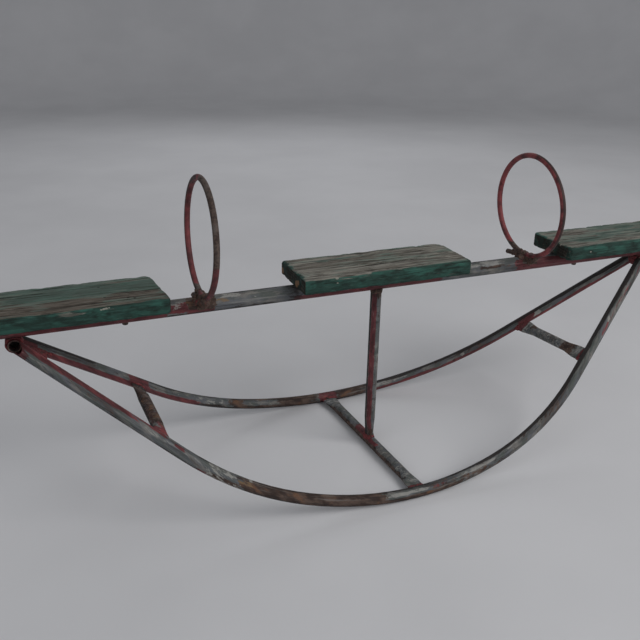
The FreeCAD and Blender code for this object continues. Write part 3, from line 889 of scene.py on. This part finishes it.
def make_plank(node, seed, corners, cover, cracks, green, worn, knots, flecks, raw=(), skew=0):
    """Weathered plank.

    corners are the radii of its upright corners, and cover says how much paint is left on each part.
    green and worn are places with more and less paint, knots are pits, flecks pale chips and raw
    bare reddish wood.  skew is how far the back corner of the right end is cut short.
    """
    low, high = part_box(node)
    centre = np.array((low + high) / 2)
    half = np.array(high - low) / 2
    grid, faces = box_surface(PLANK_CELLS)
    broad = Lattice(seed)
    fibres = Lattice(seed + 1)

    def wear(rim):
        flat = np.column_stack([rim * WEAR_WAVES, np.full(len(rim), 0.5)])
        return broad.fractal(flat, 4) ** 2 * 2

    points, outward, depth = shape_plank(grid, half, corners, wear)
    lift = np.abs(outward[:, 2])
    top = step(outward[:, 2], 0.3, 0.8)
    under = step(-outward[:, 2], 0.3, 0.8)
    ends = step(np.abs(outward[:, 0]), 0.5, 0.9)
    side = step(np.abs(outward[:, 1]), 0.5, 0.9)

    sway = SWAY * (broad.fractal(points * [5, 9, 9]) - 0.5)
    across = points[:, 1] + sway
    deep = points[:, 2] + sway

    def grain(waves):
        along, cross = waves
        return np.column_stack([points[:, 0] * along, across * cross, deep * cross])

    coarse = fibres.fractal(grain(COARSE_WAVES), 3)
    thin = fibres.fractal(grain(THIN_WAVES), 2)
    knot = spots(points, knots)
    rings = np.hypot(points[:, 1] * 0.35, points[:, 2] + 0.05) * 900
    end_rings = 0.5 + 0.5 * np.sin(rings + 4 * broad.fractal(points * 60))
    furrow = step(coarse, 0.5, 0.3)
    relief = np.where(ends > 0.5, 0.35 * end_rings, 0.7 * furrow + 0.3 * thin)
    crack = crack_depths(points, half, seed + 2, cracks, top)
    pits = step(fibres.fractal(points * [30, 120, 120], 3), 0.66, 0.8)
    slow = broad.fractal(points * [9, 16, 16] + 40, 2)
    loss = GRAIN_DEPTH * relief * (0.45 + 0.55 * lift) + CRACK_DEPTH * crack + UNDULATION * slow
    loss = loss + PIT_DEPTH * pits + KNOT_DEPTH * knot * (0.4 + 0.6 * coarse)
    points = points - outward * loss[:, None]
    cut_short = skew * np.clip(0.5 + 0.5 * points[:, 1] / half[1], 0, 1)
    points[:, 0] -= cut_short * step(points[:, 0] / half[0], 0.55, 1)

    streaks = broad.fractal(grain(STREAK_WAVES), 4)
    clouds = broad.fractal(points * [16, 40, 40] + 20, 4)
    rim = step(depth, *RIM)
    front_rim = step(-points[:, 1] / half[1], 0.6, 0.8)
    painted_rims = np.maximum(front_rim, step(-points[:, 0] / half[0], 0.8, 0.9))
    back_strip = step(points[:, 1] / half[1], cover["back_from"], cover["back_from"] + 0.3)
    on_top = cover["top"] + cover["back"] * back_strip
    on_top = on_top + cover["rim"] * rim * (0.3 + 0.7 * painted_rims) * (0.5 + clouds)
    on_top = on_top + cover["slope"] * points[:, 0] / half[0]
    on_top = on_top + GREEN_GAIN * spots(points, green, PLACE_STRETCH)
    on_top = on_top - WORN_LOSS * spots(points, worn, PLACE_STRETCH)
    # painted shade: the sides darker towards the bottom
    shade_to_bottom = np.clip(0.5 - points[:, 2] / (2 * half[2]), 0, 1)
    other = np.maximum(0, 1 - top - under - ends - side)
    paint_left = top * on_top + side * cover["side"] + ends * cover["ends"]
    paint_left = paint_left + under * UNDER_COVER + other * EDGE_COVER
    paint_left = paint_left + (streaks - 0.5) * 1.5 + (clouds - 0.5) * 0.9

    plank = new_object(node.replace("_board", "_plank"), points + centre, faces)
    layers = (
        paint_left,
        np.clip(crack + 0.14 * pits, 0, 1),
        furrow,
        spots(points, flecks, 1.4),
        spots(points, raw) * (0.35 + clouds),
        knot,
        ends,
        end_rings,
        shade_to_bottom * (1 - top),
        top * (1 - rim * painted_rims),
        top * cover["brown"] * (0.45 + 0.55 * step(-points[:, 1] / half[1], -0.6, 0.6)))
    for label, values in zip(LAYERS, layers):
        attribute = plank.data.attributes.new(label, "FLOAT", "POINT")
        attribute.data.foreach_set("value", values.astype(np.float32))
    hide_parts(node)
    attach(plank, BODY)


WOOD_PALE = (0.31, 0.296, 0.258)
WOOD_MID = (0.195, 0.184, 0.156)
WOOD_BROWN = (0.115, 0.092, 0.073)
WOOD_DARK = (0.04, 0.034, 0.028)
GREEN_DARK = (0.014, 0.03, 0.024)
GREEN_MID = (0.027, 0.072, 0.058)
GREEN_BRIGHT = (0.04, 0.135, 0.105)
GREEN_PALE = (0.095, 0.18, 0.15)
# near-black of splits and knots, also partly painted shade on end faces
SPLIT_AND_SHADE_DARK = (0.01, 0.01, 0.008)
FRESH_WOOD = (0.23, 0.135, 0.075)
PALE_CHIP = (0.36, 0.34, 0.29)
GREEN_WASH = (0.15, 0.215, 0.182)


def wood_material(name):
    g = Graph(name)
    fibre = g.noise((17, 200, 200), shift=1, roughness=0.6, warp=0.3)
    thread = g.noise((26, 620, 620), shift=2, detail=2, roughness=0.5)
    band = g.noise((12, 145, 145), shift=4, roughness=0.62, warp=0.5)
    broad = g.noise((5, 30, 30), shift=14, detail=3)
    cloud = g.noise((30, 90, 90), shift=8, detail=5, roughness=0.65)
    blot = g.noise((16, 34, 34), shift=18, roughness=0.6)
    grit = g.noise(800, shift=3, detail=2)
    paint_left, crack, furrow, fleck, raw, knot, ends, ring, low, flat, shade = map(g.attribute, LAYERS)

    wood = g.coats(
        g.mix(band.ramp(0.38, 0.6), WOOD_MID, WOOD_PALE),
        (broad.ramp(0.46, 0.6) * 0.45, WOOD_BROWN),
        ((shade + (band - 0.5) * 1.2).ramp(0.2, 0.62) * 0.8, WOOD_BROWN),
        (fibre.ramp(0.48, 0.36) * 0.8, WOOD_DARK),
        (thread.ramp(0.44, 0.34) * 0.45, WOOD_DARK),
        (thread.ramp(0.56, 0.68) * 0.35, WOOD_PALE),
        (furrow * 0.65, WOOD_DARK),
        (cloud.ramp(0.53, 0.66) * 0.45, WOOD_DARK))
    # end grain, partly painted shade: end faces near-black to brown
    end_grain_and_shade = g.mix(ring * 0.6, SPLIT_AND_SHADE_DARK, WOOD_BROWN)
    wood = g.mix(ends * 0.92, wood, end_grain_and_shade)
    green = g.coats(
        g.mix(cloud.ramp(0.36, 0.58), GREEN_DARK, GREEN_MID),
        (blot.ramp(0.48, 0.6) * 0.7, GREEN_BRIGHT),
        (fibre.ramp(0.56, 0.68) * 0.35, GREEN_PALE),
        (fibre.ramp(0.46, 0.36) * 0.65, SPLIT_AND_SHADE_DARK),
        (thread.ramp(0.44, 0.34) * 0.4, GREEN_DARK),
        (furrow * 0.5, GREEN_DARK))

    amount = paint_left + (fibre - 0.5) * 1.1 + (band - 0.5) * 0.7 + (grit - 0.5) * 0.2
    is_green = amount.ramp(0.44, 0.6) * (flat * -0.48 + 1)
    stain = amount.ramp(0.08, 0.42) * (flat * 0.5 + 0.12)
    colour = g.coats(
        g.mix(stain, wood, GREEN_WASH),
        (is_green, green),
        # painted shade: green paint darker towards the bottom of the sides
        (low.ramp(0.3, 1) * is_green * 0.5, GREEN_DARK),
        # partly painted shade: dark blots on the end faces
        (ends * blot.ramp(0.36, 0.54) * 0.75, SPLIT_AND_SHADE_DARK),
        (raw.ramp(0.4, 0.7) * 0.85, FRESH_WOOD),
        (knot.ramp(0.2, 0.8) * 0.75, SPLIT_AND_SHADE_DARK),
        (crack.ramp(0.1, 0.5) * 0.9, SPLIT_AND_SHADE_DARK))
    chip = fleck + (fibre - 0.5) * 0.8
    colour = g.mix(chip.ramp(0.35, 0.65) * 0.75, colour, PALE_CHIP)
    roughness = fibre * 0.15 + 0.78 - is_green * 0.18
    height = fibre * 0.6 + is_green * 0.22 + thread * 0.25
    return g.finish(colour, roughness, height, 0.0011, specular=0.2)


# ---------- welds ----------

WELD_VOXEL = 0.0011
SOFTEN_ROUNDS, SOFTEN_SHARE = 4, 0.6
SWELL_WAVES, SWELL_HEIGHT = 120, 0.00288    # broad bulges on a weld
PIT_WAVES, PIT_HEIGHT = 520, 0.0006         # and its fine roughness
# Lumps in each part of a handle's weld, and their smallest and largest radius.
SADDLE_LUMPS, SADDLE_SIZES = 54, (0.003, 0.0058)
RING_LUMPS, RING_SIZES = 30, (0.0038, 0.0056)
FILLET_LUMPS, FILLET_SIZES = 46, (0.0036, 0.0056)
JOIN_SHARES, JOIN_SIZES = (0.3, 0.6, 0.85), (0.0036, 0.005)  # between the tail and the ring
JOIN_END = 0.046                # where the tail parts from the ring
ROD_RADIUS = 0.0064
TAIL_DROP = {-1: 20, 1: 9}      # how far each ring's free end dips, in degrees
TAIL_LUMPS = {                  # along the tail from the joint, and size
    -1: ((0.018, 0.0076), (0.028, 0.007), (0.038, 0.0072), (0.048, 0.0068), (0.056, 0.0074),
         (0.063, 0.007)),
    1: ((0.014, 0.0074), (0.024, 0.007), (0.034, 0.0066), (0.044, 0.0058), (0.053, 0.005)),
}
SADDLE = {-1: (-40, 104, 0.0215), 1: (-45, 38, 0.026)}  # turns round the beam, reach along it
BURIED = {-1: (-0.052, 0.024), 1: (-0.004, 0.022)}  # stretch of ring inside the weld
FILLET = {-1: (-0.05, 0.001), 1: (-0.05, 0.005)}    # near end, lowest rise over the beam's axis


def make_weld(node, material, seed, lumps=(), use_cad=True):
    """Lumpy weld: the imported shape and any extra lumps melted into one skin, then roughened.

    lumps are centres and radii of rounded blobs; use_cad=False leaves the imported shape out.
    """
    mesh = bmesh.new()
    if use_cad:
        mesh.from_mesh(NODES[node].data)
    for centre, radii in lumps:
        matrix = Matrix.Translation(centre) @ Matrix.Diagonal((*radii, 1))
        bmesh.ops.create_icosphere(mesh, subdivisions=3, radius=1, matrix=matrix)
    raw = bpy.data.meshes.new(node + "_raw")
    mesh.to_mesh(raw)
    mesh.free()
    source = add_object(node + "_source", raw)
    remesh = source.modifiers.new("melt", "REMESH")
    remesh.mode = "VOXEL"
    remesh.voxel_size = WELD_VOXEL
    smooth = source.modifiers.new("soften", "SMOOTH")
    smooth.iterations = SOFTEN_ROUNDS
    smooth.factor = SOFTEN_SHARE
    depsgraph = bpy.context.evaluated_depsgraph_get()
    skin = bpy.data.meshes.new_from_object(source.evaluated_get(depsgraph))
    bpy.data.objects.remove(source)
    bpy.data.meshes.remove(raw)

    places = np.zeros((len(skin.vertices), 3))
    normals = np.zeros_like(places)
    skin.vertices.foreach_get("co", places.ravel())
    skin.vertex_normals.foreach_get("vector", normals.ravel())
    noise = Lattice(seed)
    bulge = noise.fractal(places * SWELL_WAVES, 3) - 0.42
    pit = noise.fractal(places * PIT_WAVES + 5, 2) - 0.5
    places = places + normals * (SWELL_HEIGHT * bulge + PIT_HEIGHT * pit)[:, None]
    skin.vertices.foreach_set("co", places.ravel())
    skin.update()
    skin.shade_smooth()
    skin.materials.clear()
    skin.materials.append(material)
    weld = add_object(node + "_bead", skin)
    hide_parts(node)
    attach(weld, BODY)


def on_beam(x, turn, lift):
    """A point on the beam's skin: turn is degrees from the top towards the front."""
    radius = BEAM_RADIUS + lift
    angle = math.radians(turn)
    return x, -radius * math.sin(angle), BEAM_AXIS_Z + radius * math.cos(angle)


def handle_lumps(end, seed):
    """Weld heaped round the foot of a ring: over the beam, round the ring, under it and on its tail."""
    random = np.random.default_rng(seed)
    low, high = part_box("left_ring_handle" if end < 0 else "right_ring_handle")
    x = (low.x if end < 0 else high.x) - end * ROD_RADIUS
    ring_radius = high.y - ROD_RADIUS
    base = high.z - 2 * high.y + ROD_RADIUS
    lumps = []

    def add(place, size, stretch=1):
        lumps.append((place, (size * stretch, size, size * random.uniform(0.75, 1))))

    def ring_height(y):
        return base + ring_radius - math.sqrt(ring_radius ** 2 - y ** 2)

    first, last, widest = SADDLE[end]
    for _ in range(SADDLE_LUMPS):
        turn = random.uniform(first, last)
        off_middle = (turn - (first + last) / 2) / (0.58 * (last - first))
        reach = widest * math.sqrt(max(0, 1 - off_middle ** 2))
        place = on_beam(x + 0.003 + random.uniform(-1, 1) * reach, turn, 0.0004)
        add(place, random.uniform(*SADDLE_SIZES), random.uniform(1, 1.6))
    start, stop = BURIED[end]
    for _ in range(RING_LUMPS):
        y = random.uniform(start, stop)
        turn = random.uniform(0, 2 * math.pi)
        lift = random.uniform(0.0035, 0.0062)
        place = (x + lift * math.cos(turn), y, ring_height(y) + lift * math.sin(turn))
        add(place, random.uniform(*RING_SIZES))
    near, rise = FILLET[end]
    for _ in range(FILLET_LUMPS):
        share = random.uniform(0, 1)
        y = -0.01 + share * (near + 0.01)
        top = ring_height(y) - 0.003
        bottom = BEAM_AXIS_Z + rise + share ** 1.5 * (top - BEAM_AXIS_Z - rise - 0.004)
        z = bottom + random.uniform(0, 1) * (top - bottom)
        add((x + random.uniform(-0.005, 0.006), y, z), random.uniform(*FILLET_SIZES))
    drop = math.radians(TAIL_DROP[end])
    for along, size in TAIL_LUMPS[end]:
        y = along * math.cos(drop)
        z = base - 0.0012 - along * math.sin(drop)
        add((x + random.uniform(-0.0025, 0.0015), y, z + random.uniform(-0.0022, 0.0008)), size)
        if along < JOIN_END:
            for share in JOIN_SHARES:
                between = random.uniform(*JOIN_SIZES)
                add((x + random.uniform(-0.002, 0.002), y, z + share * (ring_height(y) - z)), between)
    return lumps


LEG_AT = (0.63371, 0.08277, 0.28566)    # a point on a leg's axis: distance out along X, Y and Z
LEG_SPREAD = 0.4606                     # how far Y shrinks for each metre out along X
LEG_RISE = 0.8108                       # and how far Z grows
DRIPS = 10
WEB_START = LEG_AT[0] + 0.096           # how far out the extra weld between the left legs begins
WEB_ROWS, WEB_STEP = 6, 0.0052
WEB_DIP = 0.016                         # its edge is hollow
WEB_INSET = 0.009                       # it ends this far inside the legs' axes
DISC_MIDDLE, DISC_HALF = 0.003, 0.0045  # the disc of painted shade in a stub, along Y
DISC_BITE = 0.0006                      # how far it goes into the wall


def end_lumps(end):
    """Drips on the stub's rim, a disc of painted shade inside it, and at the left more weld along the
    web's edge.
    """
    random = np.random.default_rng(70 + end)
    low, high = stub_box(end)
    centre = (low + high) / 2
    radius = (high.x - low.x) / 2
    lumps = []
    for _ in range(DRIPS):
        angle = random.uniform(0, 2 * math.pi)
        y = random.uniform(-0.011, 0.011)
        place = (centre.x + radius * math.cos(angle), y, centre.z + radius * math.sin(angle))
        size = random.uniform(0.002, 0.0036)
        lumps.append((place, (size, size * 1.4, size)))
    # a disc deep in the stub, painted near-black as shade
    shade_disc = STUB_BORE + DISC_BITE
    lumps.append(((centre.x, DISC_MIDDLE, centre.z), (shade_disc, DISC_HALF, shade_disc)))
    if end > 0:
        return lumps
    for row in range(WEB_ROWS):
        for share in (-1, -0.6, -0.2, 0.2, 0.6, 1):
            out = WEB_START + WEB_STEP * row - WEB_DIP * share ** 2
            half_gap = LEG_AT[1] - LEG_SPREAD * (out - LEG_AT[0]) - WEB_INSET
            z = LEG_AT[2] + LEG_RISE * (out - LEG_AT[0])
            size = random.uniform(0.004, 0.005)
            lumps.append(((end * out, share * half_gap, z), (size * 1.3, size * 1.6, size * 0.9)))
    return lumps


make_camera()
make_sky()
for name, settings in LIGHTS.items():
    make_area_light(name, *settings)
bpy.context.scene.view_settings.view_transform = "Standard"

make_stage()
paint("beam_pipe", worn_steel("beam_paint", beam_zones, ALONG_BEAM))
for side, zones in (("front", front_runner_zones), ("back", back_runner_zones)):
    paint(side + "_runner", worn_steel(side + "_runner_paint", zones, bent=BENT_TUBE))
for side, zones in (("left", left_bar_zones), ("centre", centre_bar_zones), ("right", right_bar_zones)):
    paint(side + "_crossbar", worn_steel(side + "_bar_paint", zones))
paint("centre_post", worn_steel("post_paint", post_zones, ALONG_POST, STRAY_ON_POST))
stub_paint = worn_steel("stub_paint", stub_zones)
paint("left_end_stub", stub_paint)
paint("right_end_stub", stub_paint)
paint("left_ring_handle", ring_material("left_ring_paint", left_ring_worn, left_ring_dark, 0.76))
paint("right_ring_handle", ring_material("right_ring_paint", right_ring_worn, right_ring_dark, 0.58))
screw_steel = screw_material()
for screws in ("left_seat_screws", "centre_board_screws", "right_seat_screws"):
    paint(screws, screw_steel)

make_plank(
    "centre_board", 11, (0.006, 0.01, 0.028, 0.007),
    dict(top=0.02, back=0, back_from=0.5, rim=0.7, side=0.95, ends=0.4, slope=0.02, brown=0.1), 30,
    green=[(-0.118, 0.04, 0.017, 0.01), (-0.12, -0.055, 0.017, 0.012), (0.137, 0.066, 0.017, 0.012),
           (0.19, -0.066, 0.01, 0.02)],
    worn=[(-0.07, -0.07, 0.015, 0.012), (-0.165, -0.07, 0.013, 0.012), (-0.205, -0.074, -0.004, 0.014)],
    knots=[(0.137, 0.07, 0.016, 0.006)],
    flecks=[(-0.132, -0.073, 0.0155, 0.0048), (-0.131, -0.0745, 0.004, 0.0026),
            (-0.055, -0.0735, 0.014, 0.0022), (0.118, -0.012, 0.0165, 0.0042)],
    raw=[(-0.206, 0.064, -0.004, 0.013), (-0.206, -0.024, -0.006, 0.013), (-0.206, -0.034, 0, 0.009)])
make_plank(
    "left_seat_board", 23, (0.011, 0.01, 0.015, 0.011),
    dict(top=0.24, back=0.34, back_from=-0.3, rim=0.16, side=1.15, ends=0.85, slope=0.05, brown=0.85), 26,
    green=[(0.06, 0.03, 0.017, 0.03), (-0.06, 0.01, 0.017, 0.022), (0.165, 0.03, 0.017, 0.026)],
    worn=[(-0.1, -0.04, 0.017, 0.03), (0.02, -0.035, 0.017, 0.03), (0.165, -0.02, 0.017, 0.016)],
    knots=[(0.081, 0.035, 0.017, 0.004), (0.085, -0.025, 0.017, 0.004), (0.128, -0.041, 0.017, 0.004),
           (0.14, -0.046, 0.017, 0.004)],
    flecks=[(0.072, -0.0735, 0.0104, 0.0024), (0.077, -0.0735, 0.0112, 0.0028),
            (0.082, -0.0735, 0.0118, 0.0028), (0.087, -0.0735, 0.0126, 0.002)], skew=0.016)
make_plank(
    "right_seat_board", 37, (0.01, 0.011, 0.011, 0.016),
    dict(top=0.26, back=0.12, back_from=0.1, rim=0.4, side=1.05, ends=0.45, slope=0.1, brown=0.25), 26,
    green=[(-0.02, 0, 0.017, 0.022), (0.06, 0.04, 0.017, 0.02), (-0.12, -0.03, 0.017, 0.02)],
    worn=[(-0.11, 0.04, 0.017, 0.024)],
    knots=[(0.02, 0.07, 0.016, 0.006)],
    flecks=[(-0.202, -0.035, 0.0135, 0.0045), (-0.143, -0.0745, 0.002, 0.0028)])
wood = wood_material("weathered_green_wood")
for side in ("left_seat", "centre", "right_seat"):
    bpy.data.objects[side + "_plank"].data.materials.append(wood)

rusty = weld_material("rusty_weld", 0.26)
red_rusty = weld_material("red_rusty_weld", 0.62, True)
for end, side, seed in ((-1, "left", 5), (1, "right", 6)):
    make_weld(side + "_handle_weld", rusty, seed, handle_lumps(end, seed), use_cad=False)
    make_weld(side + "_end_weld", red_rusty, seed + 20, end_lumps(end))
for number, node in enumerate(("left_crossbar_welds", "centre_crossbar_welds", "right_crossbar_welds",
                               "post_top_weld", "post_foot_weld")):
    make_weld(node, rusty if node.startswith("post_top") else red_rusty, 40 + number)
